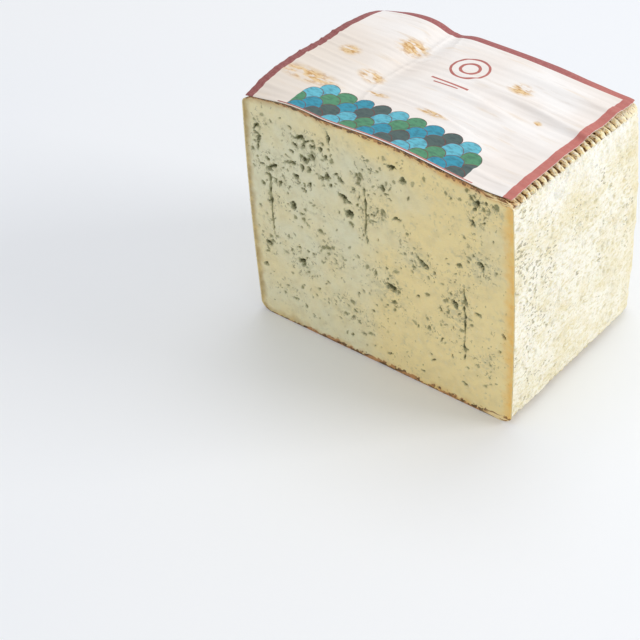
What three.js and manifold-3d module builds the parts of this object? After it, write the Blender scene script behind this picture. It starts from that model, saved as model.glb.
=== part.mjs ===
// A block of buffalo milk blue cheese, knife cut from a square wheel, with its paper top label.
// Millimetres. X runs along the cut face, Y from the cut to the back of the wheel, and Z up.
// The origin is on the table, under the middle of the block.
import * as THREE from 'three';
import { mergeVertices } from 'three/addons/utils/BufferGeometryUtils.js';
import Module from 'manifold-3d';

const wasm = await Module();
wasm.setup();

// Driving dimensions of the block
const wheelSide = 178;
const keptDepth = 126;
const flatTop = 147;
const sideBulge = 1.5;
const backBulge = 2.5;
const edgeRadius = 9;
const topShoulderDrop = 5;
const footRounding = 5.5;

// The reed mat prints ribs on the top and the bottom
const ribCount = 25;
const ribDepth = 1.2;
// The ribs fade out over the rounded edges between these slopes, 1 being level
const ribsEndAt = 0.15;
const ribsFullAt = 0.5;

// The label, and how far its edges stay inside the edges of the wheel
const labelThickness = 0.5;
const labelGap = 0.35;
const labelSag = 0.25;
const labelInset = { left: 1.5, back: 1.5, rightAtCut: 6, rightAtBack: 4 };

// Swellings and dips of the top, placed and spread by fractions of the width from the left. Each
// rises by so much at the cut and at the back, and by its dome more between them.
const leftEdgeSwell = { at: 0, spread: 0.13, cut: 0.6, back: -4, dome: 6 };
const leftSwell = { at: 0.19, spread: 0.14, cut: 4.4, back: 2.6, dome: 0 };
const creaseDip = { at: 0.32, spread: 0.05, cut: -0.4, back: -3.6, dome: 0 };
const middleSwell = { at: 0.52, spread: 0.27, cut: 6.4, back: 0.2, dome: 0.3 };
const rightFall = { at: 1, spread: 0.28, cut: 0, back: -5.2, dome: 0 };
const topSwellings = [leftEdgeSwell, leftSwell, creaseDip, middleSwell, rightFall];

// Openings of the blue veins in the cut: from the left edge, down from the flat top, and the
// spread and number of each group
const veinGroups = [
  { across: 8, down: 26, spread: 8, count: 2 },
  { across: 17, down: 43, spread: 6, count: 2 },
  { across: 41, down: 16, spread: 9, count: 5 },
  { across: 37, down: 44, spread: 8, count: 4 },
  { across: 58, down: 33, spread: 6, count: 2 },
  { across: 70, down: 45, spread: 7, count: 3 },
  { across: 86, down: 18, spread: 8, count: 2 },
  { across: 87, down: 50, spread: 8, count: 3 },
  { across: 108, down: 17, spread: 4, count: 1 },
  { across: 120, down: 66, spread: 14, count: 3 },
  { across: 158, down: 20, spread: 10, count: 4 },
  { across: 152, down: 78, spread: 16, count: 4 },
  { across: 34, down: 98, spread: 13, count: 4 },
  { across: 92, down: 108, spread: 16, count: 4 },
];
const openingLength = { least: 3, most: 7.5 };
const openingWidth = { least: 1.2, most: 2.6 };
const openingDepth = { least: 1.2, most: 2.8 };
const openingSlant = { least: -1.1, most: -0.1 };
const openingRaggedness = { least: 0.75, most: 1.1 };

// Channels left by the needles that let air into the wheel, cut along their length
const needleChannels = [
  { across: 14.4, top: 46, bottom: 91 },
  { across: 82, top: 27, bottom: 67 },
];
const needleRadius = 1.1;
const needleSides = 8;

const leastSpaceBetweenOpenings = 0.5;
const anyPart = { least: 0, most: 1 };
const weldDistance = 0.001;
const randomSeed = 20;

const half = wheelSide / 2;
const cutY = -keptDepth / 2;
const backY = keptDepth / 2 - backBulge;
const ribPitch = (backY - cutY) / ribCount;
const stationsPerRib = 3;

// Lines of the grid that the block's skin is built on
const creaseX = (creaseDip.at - 0.5) * wheelSide;
const innerLinesX = [-68, -52, -39, creaseX, -22, -8, 12, 34, 58];
const linesX = [
  -half,
  -half + edgeRadius / 2,
  -half + edgeRadius,
  ...innerLinesX,
  half - edgeRadius,
  half - edgeRadius / 2,
  half,
];
const lineStepY = ribPitch / stationsPerRib;
const linesY = Array.from({ length: ribCount * stationsPerRib + 1 }, (_, i) => cutY + i * lineStepY);
const innerLinesZ = [29, 51, flatTop / 2, 95, 118];
const linesZ = [
  0,
  footRounding / 2,
  footRounding,
  ...innerLinesZ,
  flatTop - topShoulderDrop,
  flatTop - topShoulderDrop / 2,
  flatTop,
];

// How far the top stands over its flat level. Both places run from 0 to 1, from the left edge and
// from the cut.
function swellOfTop(across, back) {
  let rise = 0;
  for (const swelling of topSwellings) {
    const dome = swelling.dome * (1 - (2 * back - 1) ** 4);
    const height = THREE.MathUtils.lerp(swelling.cut, swelling.back, back) + dome;
    rise += height * Math.exp(-(((across - swelling.at) / swelling.spread) ** 2));
  }
  return rise;
}

// 1 in the bottom of a groove between two ribs, and 0 on the ribs. The knife cut runs along a rib.
function grooveAt(y) {
  const ribsFromCut = (y - cutY) / ribPitch + 1 / stationsPerRib;
  return Math.max(0, 1 - stationsPerRib * Math.abs(ribsFromCut - Math.round(ribsFromCut)));
}

// Rounds the edges of the square block, all but those of the knife cut. Gives the place and the
// direction out of the skin there. A point marked as on the skin ends exactly on it.
function roundEdges(point, onSkin) {
  const drop = point.z > flatTop / 2 ? topShoulderDrop : footRounding;
  const radii = new THREE.Vector3(edgeRadius, edgeRadius, drop);
  const core = new THREE.Vector3(
    THREE.MathUtils.clamp(point.x, -half + edgeRadius, half - edgeRadius),
    Math.min(point.y, backY - edgeRadius),
    THREE.MathUtils.clamp(point.z, footRounding, flatTop - topShoulderDrop),
  );
  const offset = point.clone().sub(core).divide(radii);
  const reach = offset.length();
  if (reach === 0) {
    return { place: core, outward: offset };
  }
  const largest = Math.max(Math.abs(offset.x), Math.abs(offset.y), Math.abs(offset.z));
  offset.multiplyScalar((onSkin ? 1 : largest) / reach);
  const outward = offset.clone().divide(radii).normalize();
  return { place: core.add(offset.multiply(radii)), outward };
}

// Turns a point of the square block into a point of the cheese, pressed in by the ribs, swollen
// at its sides and on top, and lifted off the skin where a lift is given.
function shape(point, pressedIn, lift = 0, onSkin = false) {
  const { place, outward } = roundEdges(point, onSkin);
  const facing = THREE.MathUtils.smoothstep(Math.abs(outward.z), ribsEndAt, ribsFullAt);
  place.z -= Math.sign(outward.z) * facing * pressedIn * grooveAt(point.y);
  place.addScaledVector(outward, lift);
  const belly = 1 - (2 * THREE.MathUtils.clamp(place.z / flatTop, 0, 1) - 1) ** 2;
  place.x *= 1 + (sideBulge * belly) / half;
  place.y += (backBulge * belly * (place.y - cutY)) / (backY - cutY);
  const swell = swellOfTop(place.x / wheelSide + 0.5, (place.y - cutY) / keptDepth);
  place.z *= 1 + swell / flatTop;
  return place;
}

// A box whose corners of every small square sit on the given lines, then moved by a function.
function shapedBox(xs, ys, zs, move) {
  const box = new THREE.BoxGeometry(1, 1, 1, xs.length - 1, ys.length - 1, zs.length - 1);
  box.deleteAttribute('normal');
  box.deleteAttribute('uv');
  const grid = mergeVertices(box, weldDistance);
  const corners = grid.attributes.position;
  const lineAt = (lines, part) => lines[Math.round((part + 0.5) * (lines.length - 1))];
  for (let i = 0; i < corners.count; i += 1) {
    const place = move(
      lineAt(xs, corners.getX(i)),
      lineAt(ys, corners.getY(i)),
      lineAt(zs, corners.getZ(i)),
    );
    corners.setXYZ(i, place.x, place.y, place.z);
  }
  return grid;
}

function toSolid(geometry) {
  const bare = geometry.clone();
  bare.deleteAttribute('normal');
  bare.deleteAttribute('uv');
  const welded = mergeVertices(bare, weldDistance);
  const vertProperties = new Float32Array(welded.attributes.position.array);
  const triVerts = new Uint32Array(welded.index.array);
  return new wasm.Manifold(new wasm.Mesh({ numProp: 3, vertProperties, triVerts }));
}

function toGeometry(solid) {
  const { vertProperties, triVerts, numProp } = solid.getMesh();
  const geometry = new THREE.BufferGeometry();
  const positions = new Float32Array((vertProperties.length / numProp) * 3);
  for (let i = 0; i < positions.length / 3; i += 1) {
    positions.set(vertProperties.subarray(i * numProp, i * numProp + 3), i * 3);
  }
  geometry.setAttribute('position', new THREE.BufferAttribute(positions, 3));
  geometry.setIndex(new THREE.BufferAttribute(new Uint32Array(triVerts), 1));
  return geometry;
}

function pick(range) {
  return THREE.MathUtils.lerp(range.least, range.most, THREE.MathUtils.seededRandom());
}

// A ragged hollow around a place on the cut, longest along its slant.
function veinHollow(x, z) {
  const length = pick(openingLength);
  const width = Math.min(pick(openingWidth), length / 2);
  const depth = pick(openingDepth);
  const slant = pick(openingSlant);
  const lump = new THREE.IcosahedronGeometry(1, 0);
  lump.deleteAttribute('normal');
  lump.deleteAttribute('uv');
  const hollow = mergeVertices(lump, weldDistance);
  const corners = hollow.attributes.position;
  for (let i = 0; i < corners.count; i += 1) {
    const ragged = pick(openingRaggedness);
    corners.setXYZ(i, corners.getX(i) * ragged, corners.getY(i) * ragged, corners.getZ(i) * ragged);
  }
  hollow.scale(length / 2, depth, width / 2);
  hollow.rotateY(-slant);
  hollow.translate(x, cutY, z);
  return { hollow, x, lowZ: z, highZ: z, radius: length / 2 };
}

// Places the openings of every group, and leaves out those that would run into another.
function veinHollows(channels) {
  THREE.MathUtils.seededRandom(randomSeed);
  const placed = [];
  for (const group of veinGroups) {
    for (let i = 0; i < group.count; i += 1) {
      const away = group.spread * Math.sqrt(pick(anyPart));
      const turn = 2 * Math.PI * pick(anyPart);
      const x = -half + group.across + away * Math.cos(turn);
      const z = flatTop - group.down + away * Math.sin(turn);
      const opening = veinHollow(x, z);
      const blocked = [...channels, ...placed].some((other) => {
        const apart = Math.hypot(x - other.x, z - THREE.MathUtils.clamp(z, other.lowZ, other.highZ));
        return apart < opening.radius + other.radius + leastSpaceBetweenOpenings;
      });
      if (!blocked) {
        placed.push(opening);
      }
    }
  }
  return placed;
}

function needleHollows() {
  return needleChannels.map(({ across, top, bottom }) => {
    const x = -half + across;
    const hollow = new THREE.CylinderGeometry(needleRadius, needleRadius, bottom - top, needleSides);
    hollow.rotateX(Math.PI / 2);
    hollow.translate(x, cutY, flatTop - (top + bottom) / 2);
    return { hollow, x, radius: needleRadius, lowZ: flatTop - bottom, highZ: flatTop - top };
  });
}

// Ivory paste with blue veins, under a thin brown rind that the reed mats have ribbed.
function makeCheese() {
  const block = shapedBox(linesX, linesY, linesZ, (x, y, z) => {
    return shape(new THREE.Vector3(x, y, z), ribDepth);
  });
  const channels = needleHollows();
  const openings = veinHollows(channels);
  let solid = toSolid(block);
  for (const { hollow } of [...channels, ...openings]) {
    solid = solid.subtract(toSolid(hollow));
  }
  const paste = new THREE.MeshStandardMaterial({ color: 0xdcd2a8, roughness: 0.6, metalness: 0 });
  const cheese = new THREE.Mesh(toGeometry(solid), paste);
  cheese.name = 'cheese';
  return cheese;
}

// Grid line whose point, once the edge is rounded, lies this far inside the side of the wheel.
function lineAtInset(inset) {
  const across = 1 - inset / edgeRadius;
  return half - edgeRadius + (edgeRadius * across) / Math.sqrt(1 - across * across);
}

// One sheet of paper over the ribs, flush with the cut and short of the other three edges.
function makeLabel() {
  const leftLine = -lineAtInset(labelInset.left);
  const backLine = lineAtInset(labelInset.back) - half + backY;
  const sheetX = [
    leftLine,
    -half + edgeRadius / 2,
    -half + edgeRadius,
    ...innerLinesX,
    half - edgeRadius,
    half,
  ];
  const sheetY = [...linesY.slice(0, -1), backLine];
  const sheet = shapedBox(sheetX, sheetY, [0, 1], (x, y, side) => {
    const back = (y - cutY) / (backLine - cutY);
    const inset = THREE.MathUtils.lerp(labelInset.rightAtCut, labelInset.rightAtBack, back);
    const corner = new THREE.Vector3(x === half ? lineAtInset(inset) : x, y, flatTop);
    return shape(corner, labelSag, labelGap + side * labelThickness, true);
  });
  const paper = new THREE.MeshStandardMaterial({ color: 0xf1e9df, roughness: 0.7, metalness: 0 });
  const label = new THREE.Mesh(sheet, paper);
  label.name = 'label';
  return label;
}

const block = new THREE.Group();
block.add(makeCheese());
block.add(makeLabel());

export default block;
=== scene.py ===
from math import cos, pi, radians, sin

import bpy
import numpy as np
from mathutils import Matrix, Vector


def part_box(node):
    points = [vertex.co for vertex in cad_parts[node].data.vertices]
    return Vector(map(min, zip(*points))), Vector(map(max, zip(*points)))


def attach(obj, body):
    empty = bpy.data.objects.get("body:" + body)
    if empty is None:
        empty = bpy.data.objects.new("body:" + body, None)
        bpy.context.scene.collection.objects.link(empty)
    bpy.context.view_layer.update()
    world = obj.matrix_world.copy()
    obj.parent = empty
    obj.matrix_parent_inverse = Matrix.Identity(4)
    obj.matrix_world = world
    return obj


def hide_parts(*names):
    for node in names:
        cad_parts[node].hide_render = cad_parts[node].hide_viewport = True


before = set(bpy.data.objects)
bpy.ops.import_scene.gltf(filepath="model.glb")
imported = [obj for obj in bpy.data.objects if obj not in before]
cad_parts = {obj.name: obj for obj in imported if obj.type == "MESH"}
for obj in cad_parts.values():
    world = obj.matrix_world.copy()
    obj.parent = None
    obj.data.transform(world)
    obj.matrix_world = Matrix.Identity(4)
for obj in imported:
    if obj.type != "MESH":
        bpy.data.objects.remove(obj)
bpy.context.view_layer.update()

# The cheese
# A tall block of buffalo milk blue cheese, one solid, cut with a knife from a square wheel.
# Its paste is soft and ivory, open along blue-green veins, and the thin rind is cream on the
# sides and brown and ribbed on the top and bottom, where the wheel lay on reed mats.
mm = 0.001
cheese_low, cheese_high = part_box("cheese")
cut_y = cheese_low.y
kept_depth = cheese_high.y - cheese_low.y
flat_top = 147 * mm
side_bulge, back_bulge = 1.5 * mm, 2.5 * mm
edge_radius, top_shoulder, foot_rounding = 9 * mm, 5 * mm, 5.5 * mm
half = cheese_high.x - side_bulge
wheel_side = 2 * half
back_y = cheese_high.y - back_bulge

rib_count = 25
rib_pitch = (back_y - cut_y) / rib_count
rib_depth = 1.2 * mm
# Where the swellings and dips of the top are, as parts of the width, how far they spread, and
# how high they stand at the cut, at the back and more between them
top_swellings = [
    {"at": 0.0, "spread": 0.13, "cut": 0.6 * mm, "back": -4.0 * mm, "dome": 6.0 * mm},
    {"at": 0.19, "spread": 0.14, "cut": 4.4 * mm, "back": 2.6 * mm, "dome": 0.0},
    {"at": 0.32, "spread": 0.05, "cut": -0.4 * mm, "back": -3.6 * mm, "dome": 0.0},
    {"at": 0.52, "spread": 0.27, "cut": 6.4 * mm, "back": 0.2 * mm, "dome": 0.3 * mm},
    {"at": 1.0, "spread": 0.28, "cut": 0.0, "back": -5.2 * mm, "dome": 0.0},
]


def smooth_step(values, start, end):
    """0 up to start, 1 from end, and an even curve between them."""
    part = np.clip((values - start) / (end - start), 0, 1)
    return part * part * (3 - 2 * part)


def soft_noise(points, size, seed):
    """An even random field from -1 to 1, with lumps of about that size."""
    place = np.asarray(points) / size
    corner = np.floor(place).astype(np.int64)
    part = place - corner
    part = part * part * (3 - 2 * part)
    total = np.zeros(len(place))
    for step in np.ndindex(2, 2, 2):
        near = corner + step
        mixed = near[:, 0] * 73856093 ^ near[:, 1] * 19349663 ^ near[:, 2] * 83492791 ^ seed * 7919
        mixed = (mixed ^ (mixed >> 13)) * 1274126177
        value = ((mixed ^ (mixed >> 16)) & 0xFFFF) / 0xFFFF
        share = np.where(step, part, 1 - part).prod(axis=1)
        total += share * value
    return 2 * total - 1


def swell_of_top(across, back):
    """How far the top stands over its flat level, from 0 at the left and at the cut to 1. Its
    back left corner hangs."""
    rise = -2.2 * mm * np.exp(-((across / 0.08) ** 2) - ((1 - back) / 0.11) ** 2)
    for swelling in top_swellings:
        dome = swelling["dome"] * (1 - (2 * back - 1) ** 4)
        height = swelling["cut"] + (swelling["back"] - swelling["cut"]) * back + dome
        rise += height * np.exp(-(((across - swelling["at"]) / swelling["spread"]) ** 2))
    return rise


def rib_way(points):
    """How many ribs back from the cut each point is. The gaps are at the whole numbers."""
    wander = 0.13 * soft_noise(points * (0.3, 1, 1), 5 * mm, 3)
    return (points[:, 1] - cut_y) / rib_pitch + 1 / 3 + wander


def ribs_under(points):
    """1 in the gap between two ribs and 0 on the ribs, which are uneven in width, straightness
    and depth, and worn near the back."""
    to_gap = np.abs(rib_way(points) - np.round(rib_way(points)))
    gap_width = 0.2 + 0.09 * soft_noise(points * (0.4, 1, 1), 3 * mm, 4)
    worn = 0.55 + 0.45 * smooth_step(soft_noise(points * (0.5, 1, 1), 7 * mm, 17), -0.8, 0.2)
    worn *= 1 - 0.85 * smooth_step(points[:, 1], back_y - 34 * mm, back_y - 8 * mm)
    return np.exp(-((to_gap / gap_width) ** 2)) * worn


def shape(points, groove, lift=0.0, on_skin=False):
    """Turns points of the square block into points of the cheese: its edges rounded except at
    the cut, pressed in by the ribs, swollen at its sides and on top. Gives the way out, too."""
    drop = np.where(points[:, 2] > flat_top / 2, top_shoulder, foot_rounding)
    radii = np.stack([np.full(len(points), edge_radius)] * 2 + [drop], axis=1)
    core = points.copy()
    core[:, 0] = np.clip(core[:, 0], -half + edge_radius, half - edge_radius)
    core[:, 1] = np.minimum(core[:, 1], back_y - edge_radius)
    core[:, 2] = np.clip(core[:, 2], foot_rounding, flat_top - top_shoulder)
    offset = (points - core) / radii
    reach = np.linalg.norm(offset, axis=1)
    safe_reach = np.where(reach > 0, reach, 1)
    keep = np.where(reach > 0, 1, 0) if on_skin else np.abs(offset).max(axis=1)
    offset *= (keep / safe_reach)[:, None]
    outward = offset / radii
    outward /= np.maximum(np.linalg.norm(outward, axis=1), 1e-9)[:, None]
    place = core + offset * radii
    facing = smooth_step(np.abs(outward[:, 2]), 0.15, 0.5)
    place[:, 2] -= np.sign(outward[:, 2]) * facing * groove
    place += outward * np.reshape(lift, (-1, 1))
    belly = 1 - (2 * np.clip(place[:, 2] / flat_top, 0, 1) - 1) ** 2
    place[:, 0] *= 1 + side_bulge * belly / half
    place[:, 1] += back_bulge * belly * (place[:, 1] - cut_y) / (back_y - cut_y)
    swell = swell_of_top(place[:, 0] / wheel_side + 0.5, (place[:, 1] - cut_y) / kept_depth)
    place[:, 2] *= 1 + swell / flat_top
    return place, outward


def lines_between(stops, spacings):
    """Grid lines from each stop to the next, about that far apart."""
    lines = [np.array([stops[0]])]
    for start, end, spacing in zip(stops, stops[1:], spacings):
        steps = max(1, round((end - start) / spacing))
        lines.append(np.linspace(start, end, steps + 1)[1:])
    return np.concatenate(lines)


def squares_of(sheet):
    """The four point numbers of every square of a sheet."""
    corners = [sheet[:-1, :-1], sheet[1:, :-1], sheet[1:, 1:], sheet[:-1, 1:]]
    return np.stack([c.ravel() for c in corners], axis=1)


def box_skin(xs, ys, zs):
    """Points and squares of the block's skin without the side of the cut, and the ring of point
    numbers around that open side."""
    counts = (len(xs), len(ys), len(zs))
    numbers = np.full(counts, -1)
    outside = np.zeros(counts, bool)
    outside[[0, -1]] = True
    outside[:, -1] = True
    outside[:, :, [0, -1]] = True
    numbers[outside] = np.arange(outside.sum())
    i, j, k = np.nonzero(outside)
    points = np.stack([xs[i], ys[j], zs[k]], axis=1)
    sheets = [
        (numbers[0], False),
        (numbers[-1], True),
        (numbers[:, -1], False),
        (numbers[:, :, 0], False),
        (numbers[:, :, -1], True),
    ]
    squares = []
    for sheet, forward in sheets:
        squares.append(squares_of(sheet) if forward else squares_of(sheet)[:, ::-1])
    return points, np.concatenate(squares), ring_of(numbers[:, 0])


def ring_of(sheet):
    """Point numbers around the edge of a sheet, from its first corner."""
    return np.concatenate([sheet[:-1, 0], sheet[-1, :-1], sheet[:0:-1, -1], sheet[0, :0:-1]])


def ring_way(points, ring):
    """How far along the edge of the square cut each point of its ring is, from 0 to 1."""
    outline = points[ring][:, [0, 2]]
    steps = np.linalg.norm(np.diff(outline, axis=0, append=outline[:1]), axis=1)
    return np.concatenate([[0], np.cumsum(steps)[:-1]]) / steps.sum()


def zip_rings(ring_a, way_a, ring_b, way_b):
    """Triangles between two rings of different numbers of points."""
    triangles = []
    a, b = 0, 0
    ends_a, ends_b = np.append(way_a[1:], 1.0), np.append(way_b[1:], 1.0)
    while a < len(ring_a) or b < len(ring_b):
        point_a, point_b = ring_a[a % len(ring_a)], ring_b[b % len(ring_b)]
        if b == len(ring_b) or (a < len(ring_a) and ends_a[a] <= ends_b[b]):
            a += 1
            triangles.append((point_a, ring_a[a % len(ring_a)], point_b))
        else:
            b += 1
            triangles.append((point_a, ring_b[b % len(ring_b)], point_b))
    return triangles


def mesh_piece(name, points, faces, masks):
    """A smooth mesh object whose named masks hold one value at each point."""
    mesh = bpy.data.meshes.new(name)
    mesh.from_pydata(points, [], faces)
    for mask, values in masks.items():
        mesh.attributes.new(mask, "FLOAT", "POINT").data.foreach_set("value", values)
    mesh.shade_smooth()
    mesh.validate()
    piece = bpy.data.objects.new(name, mesh)
    bpy.context.scene.collection.objects.link(piece)
    return piece


# The knife's rim is slightly blunt. The skin's grid is fine where ribs and rind show.
rim_width = 0.5 * mm
margin = 14 * mm
skin_x = lines_between([-half, -half + margin, half - margin, half], [1.2 * mm, 5 * mm, 1.2 * mm])
skin_y = lines_between([cut_y + rim_width, back_y], [rib_pitch / 6])
skin_z = lines_between([0, 8 * mm, flat_top - 10 * mm, flat_top], [1.1 * mm, 2 * mm, 1.1 * mm])
skin, skin_squares, skin_ring = box_skin(skin_x, skin_y, skin_z)

cut_cell = 0.7 * mm
cut_x = lines_between([-half, half], [cut_cell])
cut_z = lines_between([0, flat_top], [cut_cell])
cut_numbers = len(skin) + np.arange(len(cut_x) * len(cut_z)).reshape(len(cut_x), len(cut_z))
grid_x, grid_z = np.meshgrid(cut_x, cut_z, indexing="ij")
cut = np.stack([grid_x.ravel(), np.full(grid_x.size, cut_y), grid_z.ravel()], axis=1)
cut_squares = squares_of(cut_numbers)
cut_ring = ring_of(cut_numbers)

flat_block = np.concatenate([skin, cut])
rim_triangles = zip_rings(
    cut_ring, ring_way(flat_block, cut_ring), skin_ring, ring_way(flat_block, skin_ring)
)

# The veins show on the cut as ragged openings in groups. Each group gives its middle, from the left
# edge and down from the level of the top, how far it spreads to the sides and up and down, its
# slant in degrees, how thickly it is veined and how many openings it has.
vein_groups = [
    (8, 21, 2.2, 9, -8, 0.9, 10), (15, 12, 5, 2, 25, 0.6, 4), (41, 14, 7, 4, 0, 1, 9),
    (44, 23, 5, 4.5, 0, 0.9, 6), (54, 17, 3.5, 4, 0, 0.6, 4), (27, 33, 12, 2.5, 4, 0.8, 10),
    (15, 41, 6, 3.5, 20, 0.9, 8), (24, 46, 5, 4, 0, 0.7, 7), (37, 42, 5, 4, -25, 0.7, 6),
    (56, 32, 4.5, 4.5, 0, 0.8, 7), (63, 28, 5, 3, -20, 0.6, 5), (80, 27, 4, 9, -12, 0.9, 16),
    (82, 43, 3, 9, -8, 0.8, 9), (89, 43, 4, 4, 0, 0.9, 10), (86, 15, 3.5, 3.5, 0, 0.8, 6),
    (96, 23, 3, 5, -30, 0.6, 5), (99, 9, 6, 2, 0, 0.5, 3), (107, 4, 1.5, 3, 0, 0.6, 3),
    (120, 13, 5, 2, 0, 0.3, 2), (141, 11, 4, 3, 0, 0.4, 3), (155, 14, 3, 7, 10, 1, 12),
    (164, 11, 3, 3, 0, 0.8, 8), (48, 54, 12, 4, -20, 0.4, 5), (24, 62, 9, 3.5, 0, 0.6, 8),
    (15, 67, 3, 14, 0, 0.5, 5), (10, 96, 4, 6, 0, 0.7, 7), (35, 98, 8, 6, -30, 0.8, 10),
    (58, 84, 9, 7, -35, 0.7, 10), (94, 90, 10, 8, -35, 0.8, 13), (118, 64, 9, 6, -25, 0.8, 12),
    (108, 52, 5, 6, 0, 0.5, 5), (143, 82, 6, 12, -10, 0.9, 15), (157, 48, 6, 9, 0, 0.8, 12),
    (128, 104, 9, 5, -20, 0.6, 8), (161, 112, 5, 7, 0, 0.7, 9), (70, 118, 16, 6, -12, 0.6, 12),
    (22, 124, 8, 5, 0, 0.6, 7),
]
# The boldest single openings: place across and down, length, width, slant from level in degrees,
# and depth
bold_openings = [
    (39.5, 12.6, 6, 3.2, 8, 2.2), (44, 13.6, 5, 1.9, 35, 2.6), (47, 21.5, 4.4, 3.4, 60, 3),
    (46.8, 15.4, 2.4, 2.4, 0, 2.4), (53.4, 14.6, 2.8, 2.2, -30, 2.6), (35.2, 18.4, 3.2, 2, -20, 2.2),
    (41.5, 17.6, 2.4, 2.2, 80, 2), (41.5, 25.8, 2.8, 3.4, 80, 2.4), (44.8, 25, 2.2, 2.2, 0, 1.9),
    (32.4, 24, 2.4, 2, 0, 1.8), (57, 19, 2.6, 1.8, 80, 1.8), (59, 6.3, 7.6, 2.4, -80, 2.4),
    (33, 31.8, 4, 2.2, -20, 2.8), (29.6, 32.2, 4.6, 1.2, 10, 1.6), (39.2, 32, 4.8, 1.8, 85, 2),
    (44.4, 31.2, 3.8, 2, 75, 2), (34.4, 39.6, 5, 3, 0, 2.8), (36.6, 42.6, 4.6, 1.2, -55, 2.2),
    (40, 46.2, 3.8, 1.8, -6, 2.6), (44.6, 41.6, 2.2, 2.6, 0, 2), (11, 40.3, 3.2, 2, -35, 2.4),
    (15.4, 41, 4.4, 2.8, 20, 3.2), (19, 39, 4.6, 1.5, 35, 2.4), (14.6, 35.4, 2.2, 2.8, 10, 1.6),
    (22.4, 48.6, 2.4, 3, 0, 2), (56.6, 30.8, 5.4, 2.6, 70, 2.8), (53.2, 33.6, 2.6, 2.4, 0, 2.4),
    (59.6, 35.6, 3, 1.5, 50, 2.2), (66.8, 29.6, 3.8, 2.2, -60, 1.8), (62.6, 27, 4.4, 1.2, 35, 1.6),
    (68, 40.4, 8.6, 2, -26, 2.8), (72.4, 42.2, 4, 1.1, -8, 1.8), (71.2, 49.6, 5.8, 4.8, -10, 3.4),
    (31, 61, 5, 3.4, 75, 2.6), (36.6, 64, 3.8, 1.1, -12, 1.8), (8.8, 24.4, 3, 2.4, -50, 2.8),
    (6.6, 17, 3.6, 1.8, 70, 2.2), (6.8, 21, 2.6, 1.6, 80, 2), (8.2, 29.4, 3.6, 1.5, 85, 1.8),
    (101, 8.2, 5.4, 2.4, 8, 2.4), (108.3, 14.2, 4.2, 3.8, 90, 1.5), (95.2, 23.6, 3.8, 3, -60, 2),
    (104, 40.4, 5, 1.5, 20, 1.4), (155.6, 9, 4.4, 4.2, -40, 3), (161, 7.2, 1.9, 1.7, 40, 2.2),
    (152.8, 22.2, 4.2, 2.4, -60, 2.4), (34.5, 98, 6, 3.6, -30, 3), (9.5, 95, 4, 2.4, -35, 2.6),
    (98, 88, 6.5, 3.4, -35, 3.2), (141, 80, 5.6, 3, -50, 2.8), (158, 48, 5, 2.8, -60, 2.6),
    (121, 62, 6.4, 2.2, -28, 2.6),
]
# Channels of the needles that let air into the wheel: place across, start, end and width
needle_channels = [(14.4, 43, 90, 1.5), (82.2, 27, 68, 1.1), (147.0, 66, 118, 1.2)]
chance = np.random.default_rng(12)


def drawn_openings():
    """Every opening of the groups, at a random place, size and slant, some strays, and the bold
    ones, each given as the bold ones are."""
    openings = []
    for middle, below, wide, high, slant, thick, count in vein_groups:
        turn = radians(slant)
        for _ in range(round(1.5 * count)):
            aside, up = chance.normal(0, 1.0, 2) * (wide, high)
            length = 1.1 + 2.4 * chance.random() ** 2
            openings.append((
                middle + aside * cos(turn) - up * sin(turn),
                below - aside * sin(turn) - up * cos(turn),
                length,
                length * chance.uniform(0.35, 0.9),
                chance.normal(-25, 50),
                thick * chance.uniform(0.3, 1.5),
            ))
    for shortest, top, count in ((1.0, 5, 80), (1.9, 46, 70)):
        for _ in range(count):
            length = shortest + 2.2 * chance.random() ** 2
            openings.append((
                5 + 168 * chance.random() ** 1.2,
                chance.uniform(top, 138),
                length,
                length * chance.uniform(0.3, 0.8),
                chance.normal(-25, 50),
                chance.uniform(0.2, 0.6 * shortest + 0.5),
            ))
    return openings + bold_openings


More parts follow.
